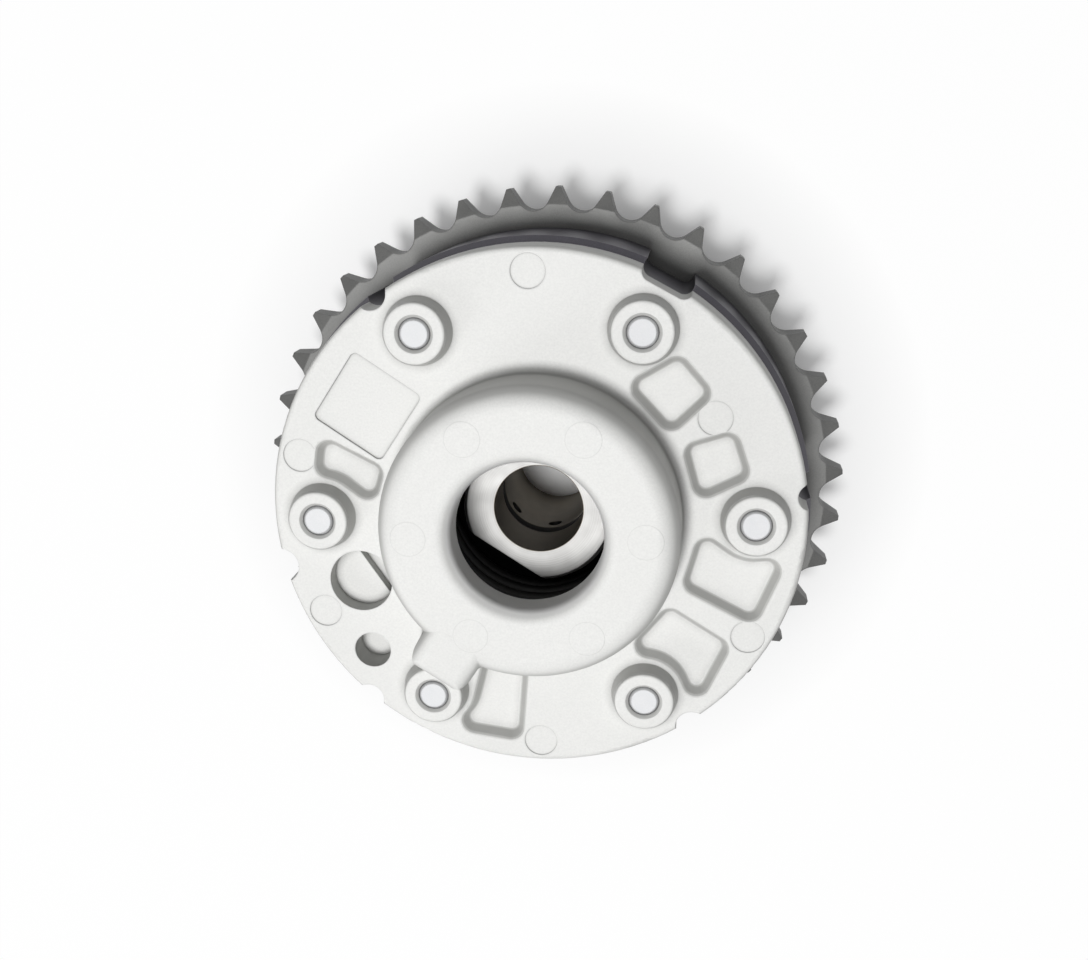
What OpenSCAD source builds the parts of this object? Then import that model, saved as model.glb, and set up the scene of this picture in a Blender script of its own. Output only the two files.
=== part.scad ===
// Vane-type cam phaser with a chain sprocket, a cast front cover and a torsion return spring

/* [Sprocket] */
// Chain pitch
chain_pitch = 8; // [6:0.5:10]
// Number of teeth
tooth_count = 38; // [34:1:44]
// Width of the teeth along the axis
tooth_width = 5; // [3:0.5:6]
// Depth of a tooth gap below the tooth tips
tooth_depth = 3.9; // [3:0.1:4.5]
// Radius of the round bottom of a tooth gap
gap_root_r = 2.8; // [2.2:0.1:3]
// Lean of the tooth flanks from the radial line, in degrees
flank_deg = 30; // [20:1:34]
// How far the tooth faces are bevelled back at the tips
tooth_bevel = 0.9; // [0.3:0.1:1.4]
// Angle of the first tooth
tooth_phase = 1.96; // [0:0.1:9]

/* [Rear plate] */
// Thickness of the rear plate
plate_t = 7; // [6:0.5:9]
// Radius of the rear plate behind the teeth
plate_r = 42; // [41:0.5:45]
// Length of the rear collar that carries the sprocket
collar_h = 8; // [6:0.5:12]
// Outer radius of the rear collar
collar_r = 22.5; // [20.5:0.5:25]

/* [Stator] */
// Outer radius of the stator housing
stator_r = 44; // [43.5:0.1:46]
// Height of the stator housing and of the oil chambers
stator_h = 16; // [14:0.5:20]
// Wall of the stator outside the oil chambers
stator_wall = 5; // [4:0.1:6]
// Width of the chamfer round the stator's front edge
stator_chamfer = 0.9; // [0.3:0.1:1.2]
// Height of the chamfer round the stator's front edge
stator_chamfer_h = 1.6; // [0.5:0.1:2.5]
// Half the width of a stator lobe, in degrees
lobe_half_deg = 11.5; // [10.5:0.1:12]

/* [Front cover] */
// How far the cover's rim stands back from the stator's
cover_step = 0.9; // [0.5:0.1:1.5]
// Thickness of the cover
cover_t = 6; // [5.5:0.5:8]
// Rounding of the cover's front edge
cover_edge = 0.9; // [0.3:0.1:1.5]
// Radius of the round boss over the return spring
boss_r = 23.5; // [22.8:0.1:24]
// Height of the boss above the cover
boss_h = 11.4; // [10:0.2:14]
// Rounding of the boss's outer edge
boss_edge = 3.4; // [1:0.1:3.6]
// Fillet round the boss's foot
boss_foot = 0.8; // [0.3:0.1:1.2]
// Radius of the mouth in the boss
mouth_r = 11.8; // [11:0.1:12.5]
// Rounding of the mouth's edge
mouth_edge = 2.4; // [1:0.1:3]
// Depth of the mouth's straight lip below the boss face
lip_h = 6; // [5:0.1:7]
// Thickness of the mouth's lip
lip_t = 2.6; // [2:0.1:2.7]
// Radius of the spring room inside the boss
spring_room_r = 20; // [19:0.1:20.6]
// Thickness of the boss's roof
roof_t = 4; // [3:0.1:4.6]
// Width of the spring anchor lobe beside the boss
anchor_w = 10.4; // [9:0.2:12]
// Distance of the anchor lobe's outer side from the axis
anchor_r = 28.3; // [27:0.1:29]
// Rounding of the anchor lobe's top edges
anchor_edge = 2.2; // [0.8:0.1:2.4]

/* [Cover details] */
// Height of the screw pads
pad_h = 3.1; // [2:0.1:4]
// Radius of a screw pad at its foot
pad_foot_r = 5.5; // [5:0.1:6]
// Radius of a screw pad at its top
pad_top_r = 4.9; // [4.2:0.1:5]
// Rounding of a screw pad's top edge
pad_edge = 0.5; // [0.2:0.1:0.8]
// Depth of the lightening pockets
pocket_depth = 1.9; // [1.2:0.1:3]
// How far the pocket walls lean out from the floor to the face
pocket_draft = 1.75; // [1:0.05:2]
// Rounding of the corners of a pocket's floor
pocket_corner = 0.9; // [0.5:0.1:1.2]
// Radius of the ring kept clear around a screw pad
pad_clear_r = 6; // [5.7:0.1:7]
// Radius of an ejector pin mark
mark_r = 2.75; // [2:0.05:3]
// Depth of an ejector pin mark
mark_depth = 0.12; // [0.05:0.01:0.3]
// Side of the bare square panel
panel_side = 12.9; // [10:0.1:13.5]
// Depth of the bare square panel
panel_depth = 0.25; // [0.1:0.05:0.5]
// Radius of the stepped round recess
recess_r = 5.2; // [4:0.1:5.5]
// Depth of the round recess's upper floor
recess_depth = 3.1; // [2:0.1:3.5]
// Depth of the round recess's lower floor
recess_low_depth = 4.9; // [4:0.1:5.1]
// Radius of the blind locating hole
locating_r = 3.05; // [2.5:0.05:3.2]
// Depth of the blind locating hole
locating_depth = 4.8; // [3:0.1:5]

/* [Rotor] */
// Radius of the rotor hub between the vanes
hub_r = 27; // [26:0.1:28]
// Diameter of the bore for the camshaft bolt
bore_d = 14.7; // [13:0.1:16]
// Radius of the rotor's front nose
nose_r = 12.5; // [12:0.1:13]
// Height of the nose above the rotor's front face
nose_h = 0.95; // [0.5:0.05:1.4]
// Distance of the nose's flat from the axis
nose_flat = 9.9; // [9.2:0.1:11]
// Width of the shoulder between the hub and the rear journal
shoulder_w = 9.5; // [8.5:0.1:11]
// Outer radius of the spring pocket in the rotor
pocket_r = 19; // [18.6:0.1:19.4]
// Depth of the spring pocket in the rotor
pocket_h = 7.5; // [6:0.1:8]
// Radius of the oil drillings
oil_r = 1.2; // [0.8:0.1:1.3]
// Radius of the hole for the camshaft's dowel
dowel_hole_r = 2; // [1.5:0.1:2.5]
// Depth of the hole for the camshaft's dowel
dowel_hole_depth = 5.1; // [3:0.1:8]
// Distance of the camshaft dowel hole from the axis
dowel_hole_at = 12; // [11:0.1:13]

/* [Vanes] */
// Thickness of a vane
vane_t = 2.6; // [2:0.1:3]
// How deep a vane sits in the hub
vane_seat = 3.7; // [3:0.1:4]
// Room under a vane for its leaf spring
leaf_room = 0.9; // [0.7:0.05:1.1]
// Thickness of a leaf spring
leaf_t = 0.25; // [0.15:0.01:0.3]

/* [Lock pin] */
// Radius of the lock pin
pin_r = 2.6; // [2.2:0.05:2.7]
// Distance of the lock pin's axis from the hub's outside
pin_inset = 4; // [3.8:0.05:4.2]
// Free travel of the lock pin
pin_travel = 1; // [0.6:0.1:1.5]
// Length of the lock pin
pin_h = 9.5; // [8:0.1:10]
// Height of the plug that closes the pin's bore
plug_h = 1.8; // [1:0.1:2]
// Wall of the hardened lock bush
bush_wall = 1.4; // [1:0.1:1.5]

/* [Return spring] */
// Mean radius of the return spring
spring_r = 15.8; // [15.4:0.1:16.2]
// Diameter of the return spring's wire
spring_wire = 2.4; // [1.8:0.1:2.6]
// Full turns of the return spring
spring_turns = 5; // [4:1:5]
// Angle of the spring's leg in the rotor
rotor_leg_deg = 15; // [8:1:22]

/* [Screws and dowels] */
// Distance of the screws' axes from the stator's outside
screw_inset = 9.1; // [8.6:0.1:9.6]
// Diameter of a screw's thread
screw_d = 5; // [4:0.1:5.4]
// Radius of a screw head
screw_head_r = 4.25; // [4:0.05:4.6]
// Height of a screw head
screw_head_h = 3.5; // [2.5:0.1:5]
// How far a screw's tip stays below the pad's top
tip_sink = 0.2; // [0.05:0.05:0.6]
// Radius of a locating dowel
dowel_r = 1.5; // [1:0.1:1.6]
// Length of a locating dowel
dowel_length = 8; // [6:0.1:9]

/* [Clearances] */
// Radial running clearance
run_gap = 0.05; // [0.02:0.01:0.1]
// Axial clearance at each face of the rotor
face_gap = 0.05; // [0.02:0.01:0.1]
// Clearance of the screws in the plain holes
hole_gap = 0.25; // [0.1:0.05:0.4]
// Clearance of pieces that are seated in one another
seat_gap = 0.02; // [0.01:0.01:0.05]

/* [Hidden] */
$fn = 96;
// Number of chambers, vanes and screws
vane_count = 6;

step_deg = 360 / vane_count;
// How far a cut runs past a face, and how far joined shapes run into one another
past = 1;
bite = 0.5;
// Circles that follow the stator
chamber_r = stator_r - stator_wall;
cover_r = stator_r - cover_step;
screw_circle_r = stator_r - screw_inset;
// Heights of the joints between the pieces, from the rear face up
plate_z = collar_h;
stator_z = plate_z + plate_t;
cover_z = stator_z + stator_h;
face_z = cover_z + cover_t;
boss_z = face_z + boss_h;
rotor_z = stator_z + face_gap;
rotor_top = cover_z - face_gap;
pad_z = face_z + pad_h;
rotor_rear_z = 0.1;
pocket_z = rotor_top - pocket_h;
nose_z = rotor_top + nose_h;
low_oil_z = rotor_z + 2;
high_oil_z = rotor_z + 5.6;
// The chain wheel's circles
tip_r = chain_pitch * (0.6 + 1 / tan(180 / tooth_count)) / 2;
gap_centre_r = tip_r - tooth_depth + gap_root_r;
// A vane at rest stands this far past its screw, so that the whole travel lies on one side
stop_deg = 0.75;
vane_half_deg = asin(vane_t / 2 / hub_r);
vane_deg = step_deg - lobe_half_deg - stop_deg - vane_half_deg;
// The lock pin and the rear journal follow the hub
pin_deg = 75;
pin_at = hub_r - pin_inset;
journal_r = hub_r - shoulder_w;
slot_floor_r = hub_r - vane_seat - leaf_room;
// The pin's tip clears the rear plate by its free travel and a little more
pin_z = rotor_z + pin_travel + face_gap;
pin_bore_r = pin_r + run_gap;
plug_z = rotor_top - plug_h;
pin_well_r = pin_r - 0.7;
pin_well_z = pin_z + 3;
bush_r = pin_r + 0.5 + bush_wall;
bush_h = 4.5;
// The return spring and its two legs
spring_low_z = pocket_z + spring_wire / 2 + 0.5;
spring_top_z = boss_z - roof_t - spring_wire / 2 - 1.2;
anchor_deg = -123.5;
anchor_drop = 0.02;
anchor_leg_r = anchor_r - 3.4;
rotor_leg_r = pocket_r + 2;
bend_r = spring_wire * 0.9;
// The coil ends a little before each leg, so that the bend brings the leg to the middle of its slot
coil_from_deg = anchor_deg + asin(bend_r / anchor_leg_r);
coil_to_deg = rotor_leg_deg - asin(bend_r / rotor_leg_r);
coil_deg = 360 * spring_turns + coil_to_deg - coil_from_deg;
// Rim notches: angle of the middle, half the angle between the two rounded ends, their radius, and the depth
notches = [[5, 0, 2.2, 1.6], [60.6, 3.6, 1.6, 1.4], [124.6, 0, 2.6, 1.9],
           [191.7, 0, 2.9, 2.5], [228, 0, 2.6, 1.9], [305, 0, 2.6, 1.9]];
// Corners of the lightening pockets, counter-clockwise: share of the way from the boss to the cover's rim,
// and angle. A lone angle is that of a screw pad, which the pocket's wall bends round
pockets = [[[0.21, 49.8], [0.2, 37.7], [0.46, 38.6], [0.47, 46.6]],
           [[0.23, 22.1], [0.22, 12.3], [0.46, 14.3], [0.46, 21.4]],
           [[0.23, -10.9], [0.23, -21.8], [0.7, -23.4], [0.73, -13], [0]],
           [[0.22, -38.7], [0.24, -49.9], [-60], [0.75, -47.3], [0.65, -37.4]],
           [[0.21, -98.7], [0.21, -105.7], [-120], [0.73, -107.1], [0.71, -97.9]],
           [[0.22, 169.4], [0.21, 165.3], [0.57, 162.6], [0.56, 165.6], [180]]];
// Ejector pin marks on the cover: distance from the rim, and angle
rim_marks = [[3.8, 90], [10.2, 30], [3.8, -30], [3.8, -90], [3.8, 165], [3.8, -155]];
// Places on the cover: distance from the axis, and angle
panel_at = [cover_r - 11.1, 145.3];
recess_at = [boss_r + recess_r + 2.6, -159];
recess_chord = 1.65;
recess_chord_deg = 33;
locating_at = [cover_r - 6.5, -140];
// Locating dowels stand in the stator's wall beside two of the screws
dowel_places = [[chamber_r + 0.5, -8], [chamber_r + 0.5, 172]];

// Places its children at a distance from the axis and an angle
module polar(r, deg) {
    rotate(deg) translate([r, 0, 0]) children();
}

// Repeats its children round the axis
module around(count, first = 0) {
    for (i = [0:count - 1]) rotate(first + i * 360 / count) children();
}

// A flat wedge from the axis between two angles
module wedge(from, to, r) {
    mid = (from + to) / 2;
    reach = r / cos((to - from) / 2);
    polygon([[0, 0], reach * [cos(from), sin(from)], r * 1.2 * [cos(mid), sin(mid)],
             reach * [cos(to), sin(to)]]);
}

// What a rounding takes off a corner at the origin, with the solid on its -X, -Y side
module corner_cut(r) {
    difference() {
        translate([-r, -r]) square(r + past);
        translate([-r, -r]) circle(r);
    }
}

// A skin over rings of points, one after another, with its two ends closed
module skin(points, rings, sides) {
    walls = [for (i = [0:rings - 2], k = [0:sides - 1], half = [0, 1])
        let (a = i * sides + k, b = i * sides + (k + 1) % sides)
        half == 0 ? [a, b, a + sides] : [b, b + sides, a + sides]];
    first = [for (k = [sides - 1:-1:0]) k];
    last = [for (k = [0:sides - 1]) (rings - 1) * sides + k];
    polyhedron(points, concat(walls, [first, last]), convexity = 10);
}

// A tube along a list of points that run nearly level
function unit(v) = v / norm(v);
function along(path, i) = unit(path[min(i + 1, len(path) - 1)] - path[max(i - 1, 0)]);
function ring_point(path, i, r, deg) =
    let (t = along(path, i), side = unit(cross(t, [0, 0, 1])), up = cross(side, t))
    path[i] + r * (cos(deg) * side + sin(deg) * up);
module wire(path, r, sides) {
    rings = len(path);
    skin([for (i = [0:rings - 1], k = [0:sides - 1]) ring_point(path, i, r, 360 * k / sides)], rings, sides);
}

// A point of a coil that rises from low to high over a whole sweep
function coil_point(r, start, sweep, low, high, share) =
    let (deg = start + sweep * share) [r * cos(deg), r * sin(deg), low + (high - low) * share];
// A bend from the coil's own direction to the radial one, then straight out to the leg's end
function leg_points(r, deg, turn, z, out_r, steps = 5) = concat(
    [for (i = [1:steps]) let (t = 90 * i / steps, s = bend_r * sin(t), q = r + bend_r * (1 - cos(t)))
        [q * cos(deg) - turn * s * sin(deg), q * sin(deg) + turn * s * cos(deg), z]],
    [[out_r * cos(deg) - turn * bend_r * sin(deg), out_r * sin(deg) + turn * bend_r * cos(deg), z]]);
function backwards(list) = [for (i = [len(list) - 1:-1:0]) list[i]];

// Outline of one rim notch, centred on the +X axis
module notch_outline(half_deg, r, depth) {
    at = cover_r - depth + r;
    spread = 2 * at * sin(half_deg);
    if (half_deg == 0) {
        translate([at, 0]) circle(r);
    } else {
        for (side = [-1, 1]) polar(at, side * half_deg) circle(r);
        translate([at * cos(half_deg) - r, -spread / 2]) square([2 * r + past, spread]);
    }
}
module notches_outline() {
    for (n = notches) rotate(n[0]) notch_outline(n[1], n[2], n[3]);
}

// Section of the cover and its boss, to the right of the axis
module cover_section() {
    roof_z = boss_z - roof_t;
    lip_z = boss_z - lip_h;
    difference() {
        union() {
            difference() {
                translate([0, cover_z]) square([cover_r, cover_t]);
                translate([cover_r, face_z]) corner_cut(cover_edge);
            }
            difference() {
                translate([0, face_z]) square([boss_r, boss_h]);
                translate([boss_r, boss_z]) corner_cut(boss_edge);
            }
            difference() {
                translate([boss_r - bite, face_z - bite]) square(boss_foot + bite);
                translate([boss_r + boss_foot, face_z + boss_foot]) circle(boss_foot);
            }
        }
        translate([0, cover_z - past]) square([spring_room_r, roof_z - cover_z + past]);
        translate([0, cover_z - past]) square([mouth_r, boss_z]);
        translate([mouth_r, boss_z]) mirror([1, 0]) corner_cut(mouth_edge);
    }
    translate([mouth_r, lip_z]) square([lip_t, roof_z - lip_z + bite]);
}

// The lobe beside the boss that anchors the spring's front leg, with rounded corners and a rounded top
module rounded_bar(length, width, r) {
    translate([0, -width / 2]) square([length - r, width]);
    translate([0, -width / 2 + r]) square([length, width - 2 * r]);
    for (side = [-1, 1]) translate([length - r, side * (width / 2 - r)]) circle(r);
}
module anchor_lobe() {
    low = face_z - bite;
    top = boss_z - anchor_drop;
    inner = spring_room_r + 0.8;
    roof_z = boss_z - roof_t + bite;
    roof_reach = 3;
    corner = 3.2;
    rotate(anchor_deg) intersection() {
        translate([0, 0, low]) linear_extrude(top - low) rounded_bar(anchor_r, anchor_w, corner);
        rotate([90, 0, 0]) translate([0, 0, -anchor_w]) linear_extrude(2 * anchor_w) difference() {
            union() {
                translate([inner, low - past]) square([anchor_r, top - low + past]);
                translate([inner - roof_reach, roof_z]) square([anchor_r, top - roof_z]);
            }
            translate([anchor_r, top]) corner_cut(anchor_edge);
        }
        rotate([90, 0, 90]) linear_extrude(anchor_r + past) difference() {
            translate([-anchor_w, low - past]) square([2 * anchor_w, top - low + past]);
            for (flip = [0, 1]) mirror([flip, 0]) translate([anchor_w / 2, top]) corner_cut(anchor_edge);
        }
    }
}
// Fillets that fair the lobe's two sides into the boss, sunk a little into both and below their roundings
module lobe_fillets() {
    r = 2.6;
    sink = 0.06;
    height = boss_h - boss_edge - 0.15;
    side_y = anchor_w / 2;
    centre = [sqrt(pow(boss_r + r, 2) - pow(side_y + r, 2)), side_y + r];
    on_boss = centre * boss_r / (boss_r + r);
    on_lobe = [centre[0], side_y];
    inside = [on_boss[0] - bite, side_y - bite];
    rotate(anchor_deg) translate([0, 0, face_z - bite]) linear_extrude(height + bite)
        for (flip = [0, 1]) mirror([0, flip]) difference() {
            polygon([inside, on_lobe - [0, bite], on_lobe, centre, on_boss]);
            translate(centre) circle(r + sink);
        }
}
module anchor_slot() {
    low = face_z + 1;
    wall = 2.2;
    from = spring_room_r - 3;
    rotate(anchor_deg) translate([from, wall - anchor_w / 2, low])
        cube([anchor_r - wall - from, anchor_w - 2 * wall, boss_z - roof_t - low]);
}

// Lightening pockets. The outline of a floor is a belt round circles. Each is a centre and a radius,
// which is less than nothing where the belt bends inwards round a screw pad
function at(r, deg) = r * [cos(deg), sin(deg)];
function clear_of(p, pads, gap) =
    len(pads) == 0 || norm(p - pads[0]) > gap ? p : pads[0] + gap * unit(p - pads[0]);
function pocket_circles(corners) = let (
    reach = cover_r - boss_r,
    bend = pad_clear_r + pocket_draft,
    gap = bend + pocket_corner,
    pads = [for (c = corners) if (len(c) == 1) at(screw_circle_r, c[0])])
    [for (c = corners) len(c) == 1 ? [at(screw_circle_r, c[0]), -bend]
        : [clear_of(at(boss_r + reach * c[0], c[1]), pads, gap), pocket_corner]];
// Direction of the belt's outside where it runs from one circle to the next, and its turn round a circle
function belt_deg(a, b) = let (d = b[0] - a[0]) atan2(d[1], d[0]) - acos((a[1] - b[1]) / norm(d));
function turn_deg(r, from, to) = let (turn = (to - from + 720) % 360)
    r > 0 ? turn : (turn > 180 ? turn - 360 : -1);
function belt(circles, spread, steps) = let (n = len(circles)) [for (i = [0:n - 1])
    let (c = circles[i], before = circles[(i + n - 1) % n], after = circles[(i + 1) % n],
         from = belt_deg(before, c), turn = turn_deg(c[1], from, belt_deg(c, after)))
    for (k = [0:steps]) c[0] + at(c[1] + spread, from + turn * k / steps)];
module lightening_pockets() {
    foot = 0.45;
    lip = 0.4;
    steps = 7;
    // The wall's section: spread of the floor's outline, and height, from a rounded foot to a rounded lip
    wall = [[0, 0], [0.55 * foot, 0.12 * foot], [foot, 0.55 * foot],
            [pocket_draft - 1.4 * lip, pocket_depth - lip],
            [pocket_draft - 0.7 * lip, pocket_depth - 0.3 * lip],
            [pocket_draft, pocket_depth + 0.02],
            [pocket_draft, pocket_depth + past]];
    translate([0, 0, face_z - pocket_depth]) for (corners = pockets)
        let (circles = pocket_circles(corners), sides = len(circles) * (steps + 1),
             rings = [for (w = wall, p = backwards(belt(circles, w[0], steps))) [p[0], p[1], w[1]]])
        skin(rings, len(wall), sides);
}

module panel_outline() {
    r = 1;
    inner = panel_side - 2 * r;
    square([panel_side, inner], center = true);
    square([inner, panel_side], center = true);
    for (x = [-1, 1], y = [-1, 1]) translate([x, y] * inner / 2) circle(r);
}

module stepped_recess() {
    polar(recess_at[0], recess_at[1]) rotate(-recess_at[1]) {
        difference() {
            translate([0, 0, face_z - recess_low_depth]) cylinder(r = recess_r, h = recess_low_depth + past);
            rotate(recess_chord_deg) translate([recess_chord - 3 * recess_r, -2 * recess_r, cover_z - past])
                cube([3 * recess_r, 4 * recess_r, cover_t + past - recess_depth]);
        }
    }
}

module screw_pads() {
    taper = (pad_foot_r - pad_top_r) / pad_h;
    around(vane_count) translate([screw_circle_r, 0, face_z]) rotate_extrude() difference() {
        polygon([[0, -bite], [pad_foot_r + bite * taper, -bite], [pad_top_r, pad_h], [0, pad_h]]);
        translate([pad_top_r, pad_h]) corner_cut(pad_edge);
    }
}

module front_cover() {
    thread_r = screw_d / 2 + seat_gap;
    chamfer = 0.5;
    widening = chamfer + 0.2;
    color("gainsboro") difference() {
        union() {
            difference() {
                union() {
                    rotate_extrude() cover_section();
                    anchor_lobe();
                    lobe_fillets();
                }
                anchor_slot();
                translate([0, 0, cover_z - past]) linear_extrude(cover_t + 2 * past)
                    notches_outline();
                lightening_pockets();
                for (m = rim_marks) polar(cover_r - m[0], m[1]) translate([0, 0, face_z - mark_depth])
                    cylinder(r = mark_r, h = past);
                polar(panel_at[0], panel_at[1]) translate([0, 0, face_z - panel_depth])
                    linear_extrude(past) panel_outline();
                stepped_recess();
                polar(locating_at[0], locating_at[1]) translate([0, 0, face_z - locating_depth])
                    cylinder(r = locating_r, h = locating_depth + past);
            }
            screw_pads();
        }
        around(vane_count) translate([screw_circle_r, 0, 0]) {
            translate([0, 0, cover_z - past]) cylinder(r = thread_r, h = pad_z - cover_z + 2 * past);
            translate([0, 0, pad_z - chamfer])
                cylinder(r1 = thread_r, r2 = thread_r + widening, h = widening);
        }
    }
}

module screw_holes() {
    around(vane_count) translate([screw_circle_r, 0]) circle(screw_d / 2 + hole_gap);
}
module dowel_holes() {
    depth = dowel_length / 2 + 0.2;
    for (d = dowel_places) polar(d[0], d[1]) translate([0, 0, stator_z - depth])
        cylinder(r = dowel_r + seat_gap, h = 2 * depth);
}

module stator_housing() {
    slope = stator_chamfer_h / stator_chamfer;
    color([0.33, 0.31, 0.36]) difference() {
        translate([0, 0, stator_z]) linear_extrude(stator_h) difference() {
            circle(stator_r);
            difference() {
                circle(chamber_r);
                around(vane_count) wedge(-lobe_half_deg, lobe_half_deg, chamber_r);
            }
            circle(hub_r + run_gap);
            screw_holes();
            notches_outline();
        }
        rotate_extrude() translate([stator_r - stator_chamfer, cover_z])
            polygon([[-past / slope, past], [stator_chamfer + past, past],
                     [stator_chamfer + past, -stator_chamfer_h - past * slope]]);
        dowel_holes();
    }
}

// Outline of one gap between two teeth, at the top of the wheel along +X
module tooth_gap() {
    touch = gap_root_r * [-sin(flank_deg), cos(flank_deg)];
    reach = tooth_depth + 1;
    wide = touch[1] + (reach - touch[0]) * tan(flank_deg);
    translate([gap_centre_r, 0]) {
        circle(gap_root_r);
        polygon([[touch[0], -touch[1]], [reach, -wide], [reach, wide], touch]);
    }
}

module chain_sprocket() {
    tooth_low = stator_z - tooth_width;
    bevel_r = tip_r - tooth_depth + 1;
    outer = tip_r + bite;
    color([0.5, 0.5, 0.51]) difference() {
        union() {
            intersection() {
                translate([0, 0, tooth_low]) linear_extrude(tooth_width) difference() {
                    circle(tip_r);
                    around(tooth_count, tooth_phase + 180 / tooth_count) tooth_gap();
                }
                rotate_extrude() polygon([
                    [0, tooth_low], [bevel_r, tooth_low], [outer, tooth_low + tooth_bevel],
                    [outer, stator_z - tooth_bevel], [bevel_r, stator_z], [0, stator_z]]);
            }
            translate([0, 0, plate_z]) cylinder(r = plate_r, h = plate_t - tooth_width + bite);
            cylinder(r = collar_r, h = collar_h + bite);
        }
        translate([0, 0, -past]) cylinder(r = journal_r + run_gap, h = stator_z + 2 * past);
        translate([0, 0, plate_z - past]) linear_extrude(plate_t + 2 * past) screw_holes();
        polar(pin_at, pin_deg) translate([0, 0, stator_z - bush_h])
            cylinder(r = bush_r + seat_gap, h = bush_h + past);
        dowel_holes();
    }
}

// Star-shaped drive recess of a screw head
module star_drive() {
    lobe_at = screw_head_r * 0.42;
    circle(lobe_at * 0.92);
    around(6) translate([lobe_at, 0]) circle(lobe_at * 0.36);
}
module housing_screws() {
    length = pad_z - tip_sink - plate_z;
    tip = 0.4;
    shank_r = screw_d / 2;
    color("silver") around(vane_count) translate([screw_circle_r, 0, plate_z]) difference() {
        union() {
            cylinder(r = shank_r, h = length - tip);
            translate([0, 0, length - tip]) cylinder(r1 = shank_r, r2 = shank_r - tip, h = tip);
            translate([0, 0, -screw_head_h]) cylinder(r = screw_head_r, h = screw_head_h);
        }
        translate([0, 0, -screw_head_h - past]) linear_extrude(screw_head_h * 0.55 + past) star_drive();
    }
}

module locating_dowels() {
    color("silver") for (d = dowel_places) polar(d[0], d[1]) translate([0, 0, stator_z - dowel_length / 2])
        cylinder(r = dowel_r, h = dowel_length);
}

module lock_bush() {
    color("dimgray") polar(pin_at, pin_deg) translate([0, 0, stator_z - bush_h]) difference() {
        cylinder(r = bush_r, h = bush_h);
        translate([0, 0, -past]) cylinder(r = bush_r - bush_wall, h = bush_h + 2 * past);
    }
}

module return_spring() {
    steps = ceil(coil_deg / 15);
    coil = [for (i = [0:steps])
        coil_point(spring_r, coil_from_deg, coil_deg, spring_top_z, spring_low_z, i / steps)];
    front_leg = leg_points(spring_r, coil_from_deg, -1, spring_top_z, anchor_leg_r);
    rotor_leg = leg_points(spring_r, coil_to_deg, 1, spring_low_z, rotor_leg_r);
    color([0.16, 0.16, 0.17]) wire(concat(backwards(front_leg), coil, rotor_leg), spring_wire / 2, 8);
}

module vane_slot() {
    width = vane_t + 2 * run_gap;
    translate([slot_floor_r, -width / 2, rotor_z - past])
        cube([vane_seat + leaf_room + past, width, stator_h + 2 * past]);
}

// Radial oil drilling from the bore to the hub's outside
module oil_way(deg, z) {
    rotate(deg) translate([bore_d / 2 - past, 0, z]) rotate([0, 90, 0]) cylinder(r = oil_r, h = hub_r);
}

// Section of the rotor, to the right of the axis
module rotor_section() {
    bore_r = bore_d / 2;
    groove_r = bore_r + 0.8;
    groove_low = high_oil_z - oil_r - 0.2;
    groove_high = high_oil_z + oil_r + 0.2;
    edge = 0.6;
    polygon([[bore_r, rotor_rear_z], [journal_r, rotor_rear_z], [journal_r, rotor_z], [hub_r, rotor_z],
             [hub_r, rotor_top], [pocket_r, rotor_top], [pocket_r, pocket_z], [nose_r, pocket_z],
             [nose_r, nose_z - edge], [nose_r - edge, nose_z], [bore_r, nose_z], [bore_r, groove_high],
             [groove_r, groove_high], [groove_r, groove_low], [bore_r, groove_low]]);
}

module rotor() {
    side_deg = 7.5;
    leg_slot_w = spring_wire * 1.6;
    color([0.62, 0.6, 0.57]) difference() {
        rotate_extrude() rotor_section();
        rotate(anchor_deg) translate([nose_flat, -nose_r, pocket_z + 0.01])
            cube([nose_r + past - nose_flat, 2 * nose_r, pocket_h + nose_h + past]);
        rotate(rotor_leg_deg) translate([pocket_r - past, -leg_slot_w / 2, pocket_z])
            cube([rotor_leg_r - pocket_r + past + 0.3, leg_slot_w, pocket_h + past]);
        around(vane_count, vane_deg) vane_slot();
        polar(pin_at, pin_deg) translate([0, 0, rotor_z - past])
            cylinder(r = pin_bore_r, h = stator_h + 2 * past);
        for (i = [0:vane_count - 1]) {
            oil_way(vane_deg + i * step_deg - side_deg, low_oil_z);
            oil_way(vane_deg + i * step_deg + side_deg, high_oil_z);
        }
        polar(dowel_hole_at, pin_deg) translate([0, 0, -past])
            cylinder(r = dowel_hole_r, h = dowel_hole_depth + past);
    }
}

module vane(i) {
    low = slot_floor_r + leaf_room;
    z = rotor_z + face_gap;
    color("slategray") rotate(vane_deg + (i - 1) * step_deg) intersection() {
        translate([low, -vane_t / 2, z]) cube([chamber_r, vane_t, stator_h - 4 * face_gap]);
        translate([0, 0, z - past]) cylinder(r = chamber_r - run_gap, h = stator_h + 2 * past);
    }
}

// Arched leaf spring between a vane and the floor of its slot
module vane_spring(i) {
    length = stator_h * 0.8;
    rise = leaf_room - 2 * leaf_t;
    bow_r = (length * length / 4 + rise * rise) / (2 * rise);
    width = vane_t - 0.4;
    color("lightsteelblue") rotate(vane_deg + (i - 1) * step_deg)
        translate([slot_floor_r + leaf_t / 2 + rise, width / 2, rotor_z + stator_h / 2]) rotate([90, 0, 0])
            linear_extrude(width) intersection() {
                translate([-bow_r, 0]) difference() {
                    circle(bow_r + leaf_t, $fn = 360);
                    circle(bow_r, $fn = 360);
                }
                translate([-rise - leaf_t, -length / 2]) square([rise + 3 * leaf_t, length]);
            }
}

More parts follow.
